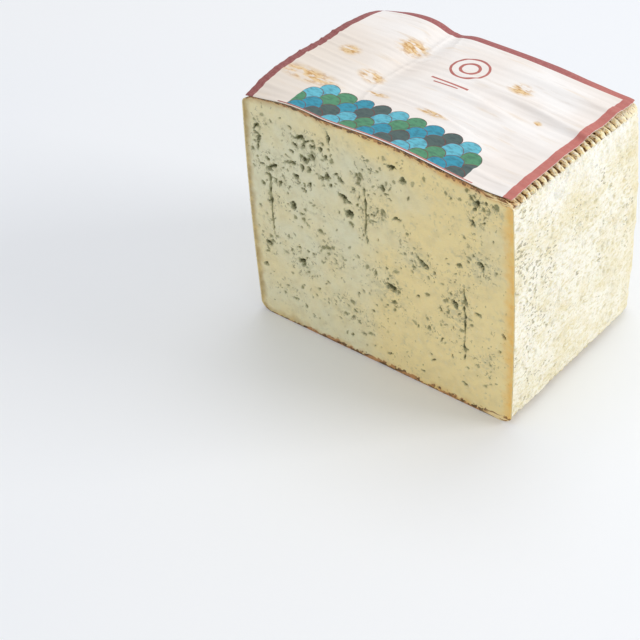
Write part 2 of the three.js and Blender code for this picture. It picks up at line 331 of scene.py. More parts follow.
def open_veins(x, z):
    """For points of the cut: how deep the veins open there, how far inside an opening each is,
    how dark that opening is, and how thickly the paste around is veined."""
    flat = np.stack([x, np.zeros(len(x)), z], axis=1)
    bent = []
    for place, seed in ((x, 27), (z, 29)):
        coarse, fine = soft_noise(flat, 2.4 * mm, seed), soft_noise(flat, 1.2 * mm, seed + 1)
        bent.append(place + 0.8 * mm * coarse + 0.35 * mm * fine)
    ragged = 0.3 * soft_noise(flat, 1.5 * mm, 21)
    depth, inside, dark, veined = np.zeros((4, len(x)))
    for middle, below, length, width, slant, deepest in drawn_openings():
        from_x = bent[0] - (-half + middle * mm)
        from_z = bent[1] - (flat_top - below * mm)
        near = np.flatnonzero(np.hypot(from_x, from_z) < (length + 2.5) * mm)
        turn = radians(slant)
        along = (from_x[near] * cos(turn) + from_z[near] * sin(turn)) / (length * mm / 2)
        aside = (from_z[near] * cos(turn) - from_x[near] * sin(turn)) / (width * mm / 2)
        reach = np.hypot(along, aside) + ragged[near]
        sunk = deepest * mm * (1 - smooth_step(reach, 0.6, 1.15))
        depth[near] = np.maximum(depth[near], sunk)
        here = np.clip(1.7 - reach, 0, 1.7)
        inner = near[here > inside[near]]
        dark[inner] = min(1, 0.12 + deepest / 2.8)
        inside[near] = np.maximum(inside[near], here)
    for middle, below, wide, high, slant, thick, _ in vein_groups:
        turn = radians(slant)
        from_x = x - (-half + middle * mm)
        from_z = z - (flat_top - below * mm)
        along = (from_x * cos(turn) + from_z * sin(turn)) / (wide * 1.5 * mm)
        aside = (from_z * cos(turn) - from_x * sin(turn)) / (high * 1.5 * mm)
        veined = np.maximum(veined, thick * np.exp(-(along ** 2 + aside ** 2) / 1.8))
    for middle, start, end, wide in needle_channels:
        from_x = x - (-half + middle * mm) + 0.8 * mm * soft_noise(flat, 6 * mm, 24)
        down = (flat_top - z) / mm
        in_channel = smooth_step(down, start, start + 3) * (1 - smooth_step(down, end - 5, end))
        width = wide * mm * (1 + 0.6 * soft_noise(flat, 3 * mm, 25))
        reach = np.abs(from_x) / (0.45 * width) + 0.7 * soft_noise(flat, 1.8 * mm, 35)
        depth = np.maximum(depth, 1.3 * mm * in_channel * np.exp(-(reach ** 2)))
        here = np.clip(1.7 - reach, 0, 1.7) * in_channel
        dark = np.where(here > inside, 0.5 + 0.5 * soft_noise(flat, 2.5 * mm, 26), dark)
        inside = np.maximum(inside, here)
        veined = np.maximum(veined, 0.6 * in_channel * np.exp(-((from_x / (2.5 * mm)) ** 2)))
    return depth, inside, dark, np.clip(veined, 0, 1)


groove = ribs_under(flat_block)
uneven_depth = rib_depth * (0.85 + 0.3 * soft_noise(flat_block, 6 * mm, 5))
body, outward = shape(flat_block, uneven_depth * groove)
is_cut = np.arange(len(flat_block)) >= len(skin)
ragged_end = 0.2 * soft_noise(body, 4.5 * mm, 18) + 0.12 * soft_noise(body, 2.2 * mm, 20)
level = smooth_step(np.abs(outward[:, 2]) + ragged_end, 0.2, 0.62) * ~is_cut
upright = (1 - level) * ~is_cut

# The skin is uneven: shallow dents, a porous surface where the curd did not close, and pits
dents = 0.9 * mm * soft_noise(body, 38 * mm, 6) + 0.35 * mm * soft_noise(body, 11 * mm, 7)
grain = 0.28 * mm * soft_noise(body, 3.6 * mm, 8) + 0.16 * mm * soft_noise(body, 1.9 * mm, 9)
pits = 0.9 * mm * smooth_step(soft_noise(body, 2.6 * mm, 10), 0.35, 0.8)
crumbs = 0.9 * mm * smooth_step(soft_noise(body, 2.4 * mm, 22), 0.0, 0.7)
crumbs *= (body[:, 0] < 0) * (1 - smooth_step(body[:, 1], cut_y + 2 * mm, cut_y + 14 * mm))
side_relief = np.where(outward[:, 2] < 0.9, upright * (dents + grain - pits - 0.6 * mm + crumbs), 0)
rib_grain = 0.42 * mm * (soft_noise(body * (0.4, 1, 1), 1.6 * mm, 11) - 1) * level
off_mid_height = np.abs(flat_block[:, 2] - flat_top / 2)
near_rim = smooth_step(off_mid_height, flat_top / 2 - 9 * mm, flat_top / 2 - 4 * mm)
upper_half = flat_block[:, 2] > flat_top / 2
notch_depth = np.where(upper_half, 1.4, 0.25 + 0.6 * soft_noise(body, 9 * mm, 19)) * mm
notches = -notch_depth * groove * np.maximum(level, near_rim) * ~is_cut
body += outward * (side_relief + rib_grain + notches)[:, None]
foot = body[:, 2] < 0
body[foot, 2] = 0

# The cut: openings of the veins, and the soft steps that the knife leaves
on_cut_veins = open_veins(body[is_cut, 0], body[is_cut, 2])
depth, inside, dark, veined = np.zeros((4, len(body)))
depth[is_cut], inside[is_cut], dark[is_cut], veined[is_cut] = on_cut_veins
rim_reach = np.minimum(
    half - np.abs(flat_block[:, 0]), np.minimum(flat_block[:, 2], flat_top - flat_block[:, 2])
)
clear_of_rim = smooth_step(rim_reach, 0.3 * mm, 3 * mm)
knife = 0.35 * mm * (1 + soft_noise(body * (1, 1, 0.6), 16 * mm, 12))
knife += 0.12 * mm * (1 + soft_noise(body, 4 * mm, 13)) + 0.06 * mm * soft_noise(body, 1.5 * mm, 14)
body[:, 1] += np.where(is_cut, clear_of_rim * (depth + knife), 0)

to_side = (half - np.abs(flat_block[:, 0])) / mm
to_top = (flat_top - flat_block[:, 2]) / mm
to_foot = flat_block[:, 2] / mm
masks = {
    "inside": inside * clear_of_rim,
    "dark": dark,
    "veined": veined,
    "cut": is_cut * 1.0,
    "to_side": np.where(is_cut, to_side, 0),
    "to_top": np.where(is_cut, to_top, 0),
    "to_foot": np.where(is_cut, to_foot, 0),
    "ribbed": level,
    "rib_way": rib_way(flat_block),
    "groove": groove * np.maximum(level, np.where(upper_half, 0.8, 0.25) * near_rim) * ~is_cut,
    # Painted shade: marks the pits of the sides, which are coloured a darker grey-green
    "pit_shade": upright * smooth_step(soft_noise(body, 2.6 * mm, 10), 0.3, 0.75),
}
cheese_faces = skin_squares.tolist() + cut_squares.tolist() + rim_triangles
cheese = mesh_piece("cheese_block", body, cheese_faces, masks)
cheese.data.set_sharp_from_angle(angle=radians(70))


def srgb(red, green, blue):
    """A colour given 0 to 255, as the shader takes it."""
    parts = [c / 255 for c in (red, green, blue)]
    return tuple(c / 12.92 if c <= 0.04045 else ((c + 0.055) / 1.055) ** 2.4 for c in parts) + (1,)


class Shader:
    """One material's nodes, each made with its inputs set or joined."""

    def __init__(self, name):
        self.material = bpy.data.materials.new(name)
        self.material.use_nodes = True
        self.tree = self.material.node_tree
        self.surface = self.tree.nodes["Principled BSDF"]
        self.place = self.node("ShaderNodeTexCoord").outputs["Object"]

    def node(self, kind, settings=None, **inputs):
        made = self.tree.nodes.new(kind)
        for setting, value in (settings or {}).items():
            setattr(made, setting, value)
        for name, value in inputs.items():
            self.join(value, made.inputs[name])
        return made

    def join(self, value, socket):
        if isinstance(value, bpy.types.NodeSocket):
            self.tree.links.new(value, socket)
        else:
            socket.default_value = value

    def mask(self, name):
        return self.node("ShaderNodeAttribute", {"attribute_name": name}).outputs["Fac"]

    def noise(self, size, detail=2.0, stretch=(1, 1, 1)):
        """Random values with lumps of that size in metres, stretched along the axes."""
        scale = tuple(1 / (size * s) for s in stretch)
        spot = self.node("ShaderNodeMapping", Vector=self.place, Scale=scale)
        made = self.node("ShaderNodeTexNoise", Vector=spot.outputs[0], Scale=1.0, Detail=detail)
        return made.outputs["Fac"]

    def span(self, value, start, end, low=0.0, high=1.0):
        """The value's place between start and end, as a value from low to high."""
        made = self.node("ShaderNodeMapRange", {"interpolation_type": "SMOOTHSTEP"}, Value=value)
        for name, number in zip(("From Min", "From Max", "To Min", "To Max"), (start, end, low, high)):
            self.join(number, made.inputs[name])
        return made.outputs["Result"]

    def patches(self, size, detail, start, end, low=0.0, high=1.0, stretch=(1, 1, 1)):
        """Noise of that size, from low where it is under start to high where it is over end."""
        return self.span(self.noise(size, detail, stretch), start, end, low, high)

    def sum(self, operation, *values):
        made = self.node("ShaderNodeMath", {"operation": operation})
        for socket, value in zip(made.inputs, values):
            self.join(value, socket)
        return made.outputs[0]

    def times(self, *values):
        """All the values multiplied."""
        product = values[0]
        for value in values[1:]:
            product = self.sum("MULTIPLY", product, value)
        return product

    def plus(self, first, second, share=1.0):
        """The first value and a share of the second."""
        return self.sum("MULTIPLY_ADD", second, share, first)

    def blend(self, share, under, over):
        """One colour laid over another by a share of 0 to 1."""
        made = self.node("ShaderNodeMix", {"data_type": "RGBA"})
        self.join(share, made.inputs[0])
        self.join(under, made.inputs[6])
        self.join(over, made.inputs[7])
        return made.outputs[2]

    def bump(self, height, distance):
        made = self.node("ShaderNodeBump", Height=height, Distance=distance, Strength=1.0)
        self.join(made.outputs[0], self.surface.inputs["Normal"])


greenish_paste, warm_paste = srgb(233, 229, 194), srgb(247, 227, 166)
band_left, band_right = srgb(176, 148, 90), srgb(246, 196, 102)
mould_grey, mould_olive, mould_dark = srgb(168, 168, 130), srgb(152, 150, 104), srgb(88, 86, 50)
side_cream, side_white, side_yellow = srgb(240, 231, 200), srgb(249, 244, 226), srgb(232, 217, 168)
side_speck = srgb(150, 142, 108)
rib_straw, rib_brown, rib_grey = srgb(255, 238, 184), srgb(104, 72, 34), srgb(236, 214, 164)
rib_pink = srgb(220, 160, 112)

rind = Shader("cheese_paste_and_rind")
times, plus = rind.times, rind.plus
separate = rind.node("ShaderNodeSeparateXYZ", Vector=rind.place)
across, backward, upward = (separate.outputs[axis] for axis in "XYZ")
rightward = rind.span(across, -half, half)
inside_mask, dark_mask, on_cut = rind.mask("inside"), rind.mask("dark"), rind.mask("cut")
veined_mask, below_top, above_foot = rind.mask("veined"), rind.mask("to_top"), rind.mask("to_foot")
from_side = rind.mask("to_side")
ribbed, groove_mask = rind.mask("ribbed"), rind.mask("groove")

# Paste: greener to the left, yellower to the right and under the top, cloudy, with paler curd
# and faint mould
warmth = rind.span(across, -0.4 * half, 0.5 * half)
warmth = plus(warmth, rind.patches(26 * mm, 3, 0.3, 0.7, -0.3, 0.25))
warm_share = rind.span(across, -0.75 * half, -0.3 * half, 0.25, 0.8)
warmth = plus(warmth, times(rind.span(below_top, 24, 4), warm_share))
warmth = plus(warmth, rind.span(below_top, 50, 95, 0, 0.35))
paste = rind.blend(warmth, greenish_paste, warm_paste)
paste = rind.blend(rind.patches(7 * mm, 4, 0.4, 0.75, 0, 0.35), paste, srgb(208, 194, 146))
paste = rind.blend(rind.patches(2.6 * mm, 3, 0.52, 0.8, 0, 0.4), paste, srgb(242, 234, 204))
faint_mould = times(rind.patches(12 * mm, 3, 0.48, 0.68), rind.patches(2.6 * mm, 4, 0.48, 0.7))
paste = rind.blend(times(faint_mould, 0.5), paste, srgb(168, 164, 122))

# Mould colours the paste in patches around the openings, and runs on in small crisp marks
uneven, fine_uneven = rind.noise(2.2 * mm, 3), rind.noise(1.0 * mm, 3)
cloud = times(rind.span(veined_mask, 0.15, 0.9), rind.span(uneven, 0.42, 0.62, 0.0, 0.5))
paste = rind.blend(cloud, paste, srgb(190, 186, 150))
patch = rind.span(plus(inside_mask, uneven, 2.2), 1.35, 1.85)
patch = times(patch, rind.span(inside_mask, 0.0, 0.5), rind.span(dark_mask, 0.2, 0.9, 0.35, 0.85))
paste = rind.blend(patch, paste, mould_grey)
bends = rind.sum("ABSOLUTE", plus(-0.5, rind.noise(3.0 * mm, 2)))
hooks = times(rind.span(bends, 0.045, 0.02), rind.patches(4.2 * mm, 2, 0.56, 0.61))
marks = rind.span(plus(rind.noise(3.0 * mm, 2), veined_mask, 0.05), 0.68, 0.71)
strays = rind.patches(2.2 * mm, 3, 0.66, 0.69, stretch=(1, 1, 1.4))
strays = times(strays, rind.patches(11 * mm, 2, 0.5, 0.56))
fine_veins = times(rind.sum("MAXIMUM", hooks, marks), rind.span(veined_mask, 0.12, 0.5))
fine_veins = rind.sum("MAXIMUM", fine_veins, times(strays, 0.8))
paste = rind.blend(times(fine_veins, 0.6), paste, srgb(134, 130, 94))
open_here = rind.span(plus(inside_mask, fine_uneven, 1.3), 1.46, 1.64)
darkness = plus(plus(inside_mask, dark_mask, 1.1), uneven, 1.0)
open_colour = rind.blend(rind.span(darkness, 1.9, 2.9), mould_olive, mould_dark)
paste = rind.blend(times(open_here, rind.span(dark_mask, 0.1, 0.7, 0.45, 0.95)), paste, open_colour)

# Rind where the cut meets it: tan at the left, golden at the right, and a broken dark crust
level_way = rind.sum("MINIMUM", below_top, above_foot)
wavy = rind.noise(8 * mm, 3)
band_width = times(rind.span(wavy, 0.3, 0.7, 4.2, 7.0), plus(1.0, rind.span(across, 0, half), 0.7))
side_band = rind.span(rind.sum("DIVIDE", from_side, band_width), 1.0, 0.0)
level_band = rind.sum("DIVIDE", level_way, rind.span(wavy, 0.3, 0.7, 3.0, 6.5))
level_band = times(rind.span(level_band, 1.0, 0.0), 0.75)
band = times(rind.sum("MAXIMUM", side_band, level_band), rind.span(uneven, 0.2, 0.7, 0.75, 1.0))
band_colour = rind.blend(rightward, band_left, band_right)
pale_patches = times(rind.patches(9 * mm, 4, 0.45, 0.65), 0.5)
band_colour = rind.blend(pale_patches, band_colour, srgb(246, 218, 140))
paste = rind.blend(band, paste, band_colour)
outer_skin = times(rind.span(from_side, 0.9, 0.4), on_cut, rind.span(uneven, 0.3, 0.6, 0.3, 0.9))
paste = rind.blend(outer_skin, paste, srgb(240, 226, 180))
browned = times(rind.span(below_top, 5.5, 0.6), rind.span(across, -0.1 * half, half, 0.15, 0.75))
browned = times(browned, rind.span(uneven, 0.25, 0.6, 0.6, 1.0))
paste = rind.blend(browned, paste, srgb(208, 142, 84))
thin_at_left = rind.span(across, -half + 15 * mm, -half + 50 * mm, 0.3, 1.0)
crust_width = times(rind.patches(3 * mm, 4, 0.35, 0.65, 0.6, 3.0), thin_at_left)
at_right = rind.span(across, half - 26 * mm, half - 3 * mm)
crust_width = plus(crust_width, times(at_right, rind.patches(3 * mm, 3, 0.3, 0.7, 1.2, 3.6)))
crust = rind.span(rind.sum("DIVIDE", level_way, crust_width), 1.1, 0.8)
crust_mix = rind.patches(2.2 * mm, 3, 0.42, 0.58, stretch=(1.6, 1, 0.6))
crust_colour = rind.blend(crust_mix, srgb(82, 52, 28), srgb(190, 134, 84))
strands = rind.noise(1.2 * mm, 3, (7, 1, 1))
strand_colour = rind.blend(rind.span(strands, 0.42, 0.52), srgb(140, 94, 48), srgb(252, 226, 168))
crust_colour = rind.blend(rind.span(at_right, 0.1, 0.6), crust_colour, strand_colour)
paste = rind.blend(times(crust, 0.9), paste, crust_colour)

# Sides: cream white and crumbly, whitest under the ribs, with yellowish level streaks, and specks
# of mould that gather near the cut and in the upper half
level_grain = (2.2, 2.2, 1)
side = rind.blend(rind.patches(24 * mm, 3, 0.35, 0.6), side_cream, side_white)
streaks = rind.patches(9 * mm, 4, 0.5, 0.72, 0, 0.55, level_grain)
side = rind.blend(streaks, side, side_yellow)
flecks = rind.patches(1.7 * mm, 4, 0.5, 0.62, 0, 0.6, level_grain)
side = rind.blend(flecks, side, srgb(218, 205, 154))
white_flecks = rind.patches(1.3 * mm, 3, 0.52, 0.66, 0, 0.6, level_grain)
side = rind.blend(white_flecks, side, srgb(253, 249, 236))
near_the_cut = rind.span(backward, cut_y + 60 * mm, cut_y + 5 * mm, -0.04, 0.09)
off_middle = rind.sum("ABSOLUTE", plus(-90 * mm, upward))
at_mid_height = rind.span(off_middle, 60 * mm, 20 * mm, -0.05, 0.04)
under_the_ribs = rind.span(upward, flat_top - 18 * mm, flat_top - 6 * mm, 0, 0.1)
speck_area = plus(rind.noise(13 * mm, 3), near_the_cut)
speck_area = plus(plus(speck_area, at_mid_height), under_the_ribs)
speck_marks = rind.span(plus(rind.noise(1.6 * mm, 3, (1.7, 1.7, 1)), speck_area, 0.4), 0.83, 0.87)
side = rind.blend(times(speck_marks, rind.span(speck_area, 0.48, 0.62), 0.7), side, side_speck)
# Painted shade: the pits of the sides are coloured a darker grey-green, as shade would fall in them
pit_shade = times(rind.mask("pit_shade"), rind.span(uneven, 0.35, 0.6), 0.55)
side = rind.blend(pit_shade, side, srgb(176, 168, 128))
near_corner = rind.span(rind.sum("ABSOLUTE", across), half - 22 * mm, half - 4 * mm)
far_corner = times(rind.span(backward, 40 * mm, 60 * mm), near_corner)
side = rind.blend(times(far_corner, 0.5), side, side_yellow)
whiter = rind.span(upward, flat_top - 34 * mm, flat_top - 12 * mm)
whiter = times(whiter, rind.span(backward, cut_y + 10 * mm, cut_y + 40 * mm))
whiter = times(whiter, rind.span(backward, 58 * mm, 40 * mm))
whiter = times(whiter, rind.span(uneven, 0.35, 0.6, 0.25, 0.65))
side = rind.blend(whiter, side, srgb(254, 252, 244))
frayed = times(rind.span(ribbed, 0.02, 0.2), rind.span(ribbed, 0.7, 0.4))
frayed = times(frayed, rind.span(fine_uneven, 0.54, 0.6))
side = rind.blend(times(frayed, 0.7), side, srgb(128, 116, 70))
# Painted shade: the rib gaps that reach the rounded edges are coloured brown on the sides
side = rind.blend(rind.span(groove_mask, 0.35, 0.8, 0, 0.6), side, srgb(150, 116, 66))

# Top and bottom: straw ribs that the mats left, golden and greyed, with painted shade on their flanks,
# darkest in their gaps, worn and whiter near the back, with loose strands at the right of the cut
along_ribs = (2.5, 1, 1)
ribs = rind.blend(rind.patches(16 * mm, 3, 0.5, 0.72, 0, 0.6), rib_straw, rib_grey)
ribs = rind.blend(rind.patches(24 * mm, 2, 0.56, 0.7, 0, 0.6), ribs, rib_pink)
golden_dashes = rind.patches(1.8 * mm, 3, 0.52, 0.6, 0, 0.45, along_ribs)
ribs = rind.blend(golden_dashes, ribs, srgb(212, 168, 96))
pale_dashes = rind.patches(1.3 * mm, 2, 0.48, 0.58, 0, 0.9, along_ribs)
ribs = rind.blend(pale_dashes, ribs, srgb(254, 247, 220))
to_gap = rind.sum("ABSOLUTE", plus(-0.5, rind.sum("FRACT", plus(0.5, rind.mask("rib_way")))))
to_gap = plus(to_gap, plus(-0.5, rind.noise(1.7 * mm, 3, (2, 1, 1))), 0.75)
worn_end = rind.span(backward, back_y - 34 * mm, back_y - 10 * mm)
to_gap = plus(to_gap, worn_end, 0.17)
# Painted shade: the flanks of the ribs are coloured golden and their gaps dark brown, following the
# rib profile
ribs = rind.blend(rind.span(to_gap, 0.26, 0.16, 0, 0.75), ribs, srgb(224, 186, 116))
ribs = rind.blend(rind.span(to_gap, 0.15, 0.1), ribs, rib_brown)
near_right = rind.span(across, half - 40 * mm, half - 14 * mm)
by_the_cut = times(rind.span(backward, cut_y + 10 * mm, cut_y + 3 * mm), near_right)
ribs = rind.blend(times(worn_end, rind.span(uneven, 0.3, 0.6, 0.2, 0.7)), ribs, side_cream)
ribs = rind.blend(times(by_the_cut, 0.85), ribs, strand_colour)
ribs = rind.blend(times(rind.span(strands, 0.42, 0.36), 0.5), ribs, srgb(140, 98, 52))

skin_colour = rind.blend(ribbed, side, ribs)
rind.join(rind.blend(on_cut, skin_colour, paste), rind.surface.inputs["Base Color"])
rind.join(rind.patches(4 * mm, 3, 0.3, 0.7, 0.5, 0.72), rind.surface.inputs["Roughness"])
rind.surface.inputs["Subsurface Weight"].default_value = 0.12
rind.surface.inputs["Subsurface Radius"].default_value = (1.0, 0.75, 0.45)
rind.surface.inputs["Subsurface Scale"].default_value = 2.5 * mm
rind.surface.inputs["Specular IOR Level"].default_value = 0.35
fine = plus(plus(fine_uneven, uneven, 0.8), open_here, -1.0)
rind.bump(times(fine, rind.span(on_cut, 0, 1, 1.4, 0.5)), 0.5 * mm)
cheese.data.materials.append(rind.material)
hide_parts("cheese")
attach(cheese, "root")

# The label
# One sheet of printed paper, pasted over the top so that the ribs under it show as soft
# wrinkles. It is flush with the knife cut and stops short of the other three edges.
paper_thickness = 0.3 * mm
paper_lift = 0.3 * mm
inset_left, inset_back = 3.2 * mm, 2.6 * mm
inset_right_at_cut, inset_right_at_back = 1.6 * mm, 4 * mm
paper_sag = 0.4 * mm


def line_at_inset(inset):
    """Where on the square block a line starts that ends this far inside the rounded edge."""
    part = 1 - inset / edge_radius
    return half - edge_radius + edge_radius * part / np.sqrt(1 - part * part)


paper_left = -line_at_inset(inset_left)
paper_back = line_at_inset(inset_back) - half + back_y
sheet_u = np.linspace(0, 1, 200)
sheet_v = np.linspace(0, 1, 165)
grid_u, grid_v = np.meshgrid(sheet_u, sheet_v, indexing="ij")
grid_u, grid_v = grid_u.ravel(), grid_v.ravel()
near_cut = np.exp(-grid_v / 0.25)
inset_right = inset_right_at_back + (inset_right_at_cut - inset_right_at_back) * near_cut
paper_right = line_at_inset(inset_right)
sheet = np.stack([
    paper_left + (paper_right - paper_left) * grid_u,
    cut_y + (paper_back - cut_y) * grid_v,
    np.full(grid_u.size, flat_top),
], axis=1)

# The scissors' line wavers a little, except at the knife cut
waver = 0.35 * mm
near_left, near_right = np.exp(-grid_u / 0.02), np.exp(-(1 - grid_u) / 0.02)
near_back = np.exp(-(1 - grid_v) / 0.03)
sheet[:, 0] += waver * soft_noise(sheet, 9 * mm, 32) * (near_left + near_right)
sheet[:, 1] += waver * soft_noise(sheet, 9 * mm, 33) * near_back
ribs_back = (sheet[:, 1] - cut_y) / rib_pitch + 1 / 3
sheet_groove = np.exp(-((np.abs(ribs_back - np.round(ribs_back)) / 0.28) ** 2))
sag = paper_sag * sheet_groove * (0.5 + 0.5 * soft_noise(sheet * (0.3, 1, 1), 12 * mm, 31))

# Long folds run along the ribs and grow to the right. Sharp creases run from the dip at the back
# towards the cut.
fold_high = 0.35 * mm + 1.4 * mm * smooth_step(sheet[:, 0], -20 * mm, 60 * mm)
fold_high += 0.25 * mm * smooth_step(-sheet[:, 0], 50 * mm, 82 * mm)
fold_high *= 0.2 + 0.8 * smooth_step(grid_v, 0.0, 0.16)
fold_high *= 1 - 0.75 * smooth_step(grid_v, 0.8, 0.95)
slanted = sheet + np.stack([0 * grid_u, 0.08 * sheet[:, 0], 0 * grid_u], axis=1)
folds = fold_high * smooth_step(soft_noise(slanted * (0.1, 1, 1), 8 * mm, 34), -0.5, 0.7)
ridges = np.clip(1 - np.abs(soft_noise(slanted * (0.12, 1, 1), 9 * mm, 37)) / 0.35, 0, 1)
folds += 0.8 * fold_high * ridges
creases = [
    {"from": (-33, 62), "to": (-30, 18), "high": 0.98, "wide": 1.7},
    {"from": (-30, 18), "to": (-33, -10), "high": 0.77, "wide": 1.3},
    {"from": (-33, -10), "to": (-26, -40), "high": 0.63, "wide": 1.2},
    {"from": (-32, -8), "to": (-14, -2), "high": 0.49, "wide": 1.0},
    {"from": (-31, 12), "to": (-22, 20), "high": 0.56, "wide": 1.0},
    {"from": (-34, -14), "to": (-52, -26), "high": 0.49, "wide": 1.2},
    {"from": (-20, 38), "to": (-26, 54), "high": 0.56, "wide": 1.2},
    {"from": (-48, 20), "to": (-62, 12), "high": 0.42, "wide": 1.2},
]
bent = sheet + 1.2 * mm * np.stack([soft_noise(sheet, 9 * mm, 36)] * 3, axis=1)
for crease in creases:
    first, last = np.array(crease["from"]) * mm, np.array(crease["to"]) * mm
    way = last - first
    part = np.clip((bent[:, :2] - first) @ way / (way @ way), 0, 1)
    away = np.linalg.norm(bent[:, :2] - first - part[:, None] * way, axis=1)
    folded = np.exp(-away / (crease["wide"] * mm)) * (0.4 + 0.6 * np.sin(pi * part))
    folds += crease["high"] * mm * folded
under, _ = shape(sheet, sag, paper_lift + folds, on_skin=True)
over, _ = shape(sheet, sag, paper_lift + paper_thickness + folds, on_skin=True)

# The paper bends less at its edges than the rind does, and its right corner at the cut stands up
pasted, _ = shape(sheet, 0.0, on_skin=True)
swell = swell_of_top(pasted[:, 0] / wheel_side + 0.5, (pasted[:, 1] - cut_y) / kept_depth)
stiffness = 0.65 + 0.22 * smooth_step(sheet[:, 0], -20 * mm, 60 * mm)
edge_lift = stiffness * (flat_top + swell - pasted[:, 2])
edge_lift += 1.4 * mm * smooth_step(grid_u, 0.88, 1) * near_cut
edge_lift *= 1 - 0.9 * np.exp(-grid_u / 0.12) * np.exp(-(1 - grid_v) / 0.15)
under[:, 2] += edge_lift
over[:, 2] += edge_lift
sheet_numbers = np.arange(sheet_u.size * sheet_v.size).reshape(sheet_u.size, sheet_v.size)
top_squares = squares_of(sheet_numbers)
under_squares = top_squares[:, ::-1] + len(over)
sheet_edge = ring_of(sheet_numbers)
next_edge = np.roll(sheet_edge, -1)
edge_squares = np.stack(
    [sheet_edge, sheet_edge + len(over), next_edge + len(over), next_edge], axis=1
)


def way_along(points, axis):
    """How far along the paper each point is from the side where its grid starts."""
    steps = np.linalg.norm(np.diff(points, axis=axis), axis=2)
    return np.insert(np.cumsum(steps, axis=axis), 0, 0, axis=axis)


paper_grid = over.reshape(sheet_u.size, sheet_v.size, 3)
from_left, from_cut = way_along(paper_grid, 0), way_along(paper_grid, 1)
to_edges = [from_left, from_left[-1:] - from_left, from_cut[:, -1:] - from_cut]
from_edge = np.minimum.reduce(to_edges).ravel() / mm
label_points = np.concatenate([over, under])
label_faces = np.concatenate([top_squares, under_squares, edge_squares]).tolist()
label = mesh_piece("paper_label", label_points, label_faces, {"from_edge": np.tile(from_edge, 2)})
label.data.set_sharp_from_angle(angle=radians(50))

border_width, border_start, soft_edge = 5.5, 0.12, 0.12
border_red = srgb(196, 116, 106)
paper_pink, paper_white = srgb(242, 233, 225), srgb(247, 243, 239)
streak_grey, streak_tan = srgb(222, 212, 202), srgb(232, 212, 186)
knot_pale, knot_tan = srgb(232, 200, 150), srgb(204, 158, 100)

# A pale whitewashed plank is printed over the whole sheet
paper = Shader("printed_paper")
separate = paper.node("ShaderNodeSeparateXYZ", Vector=paper.place)
paper_x, paper_y = separate.outputs["X"], separate.outputs["Y"]
spread_colour = paper.blend(paper.patches(50 * mm, 2, 0.35, 0.65), paper_pink, paper_white)
# Painted shade: the paper is coloured darker and warmer towards its left, in the half nearer the cut
shade_near_left_corner = paper.times(
    paper.span(paper_x, 10 * mm, -half), paper.span(paper_y, 50 * mm, -10 * mm)
)
spread_colour = paper.blend(paper.times(shade_near_left_corner, 0.9), spread_colour, srgb(232, 219, 204))
grain_lines = paper.noise(2.6 * mm, 4, (12, 1, 1))
print_and_shade_colour = paper.blend(paper.span(grain_lines, 0.54, 0.78, 0, 0.5), spread_colour, streak_grey)
tan_streaks = paper.patches(4 * mm, 3, 0.56, 0.78, 0, 0.5, (8, 1, 1))
print_and_shade_colour = paper.blend(tan_streaks, print_and_shade_colour, streak_tan)


def slanted_way(aside, away):
    """How long the straight way is that goes that far aside and that far away."""
    return paper.sum("SQRT", paper.plus(paper.times(aside, aside), paper.times(away, away)))


def from_spot(x, y, wide=1.0, high=1.0):
    """How far the paper is from a spot, in millimetres over the spot's width and height."""
    aside = paper.sum("DIVIDE", paper.plus(paper_x, -x * mm), wide * mm)
    away = paper.sum("DIVIDE", paper.plus(paper_y, -y * mm), high * mm)
    return slanted_way(aside, away)


# Knots of the plank: place, width and height in millimetres
knots = [
    (-65, -34, 24, 8), (-64, 1, 8, 6), (-38, -13, 10, 7), (-39, 26, 12, 10), (34, 24, 9, 7),
    (58, 4, 3, 2.5), (-24, -26, 9, 2.5), (12, -26, 12, 2.5),
]
knot_mask = 0.0
for knot in knots:
    knot_mask = paper.sum("MAXIMUM", paper.span(from_spot(*knot), 1.1, 0.35), knot_mask)
knot_mask = paper.times(knot_mask, paper.patches(3 * mm, 4, 0.38, 0.52, 0.1, 1.0, (2.4, 1, 1)))
knot_mix = paper.patches(1.5 * mm, 3, 0.45, 0.6, stretch=(2, 1, 1))
print_and_shade_colour = paper.blend(knot_mask, print_and_shade_colour, paper.blend(knot_mix, knot_pale, knot_tan))

# A plain painted frieze of overlapping scallops runs along the cut
scallop_wide, scallop_high = 11.5, 7.5
frieze_left, frieze_right, frieze_low = -57.5, 57.5, -61.7
frieze_rows = 4
scallop_colours = [
    srgb(58, 154, 178), srgb(84, 102, 98), srgb(104, 190, 208), srgb(88, 150, 112),
]
scallop_outline, brush_dark = srgb(120, 66, 62), srgb(52, 66, 70)
row_place = paper.sum("DIVIDE", paper.plus(paper_y, -frieze_low * mm), scallop_high * mm)
row = paper.sum("FLOOR", row_place)
odd_row = paper.sum("PINGPONG", row, 1.0)
column_place = paper.sum("DIVIDE", paper.plus(paper_x, -frieze_left * mm), scallop_wide * mm)
column_place = paper.plus(column_place, odd_row, 0.5)
from_middle = paper.plus(paper.sum("FRACT", column_place), -0.5)
over_foot = paper.times(paper.sum("FRACT", row_place), scallop_high / scallop_wide)
reach = slanted_way(from_middle, over_foot)
on_scallop = paper.span(reach, 0.51, 0.49)
own_column = paper.sum("FLOOR", column_place)
next_column = paper.sum("SUBTRACT", paper.sum("FLOOR", paper.plus(column_place, 0.5)), odd_row)
own_number = paper.plus(own_column, row, 3.0)
next_number = paper.plus(next_column, paper.plus(row, 1.0), 3.0)


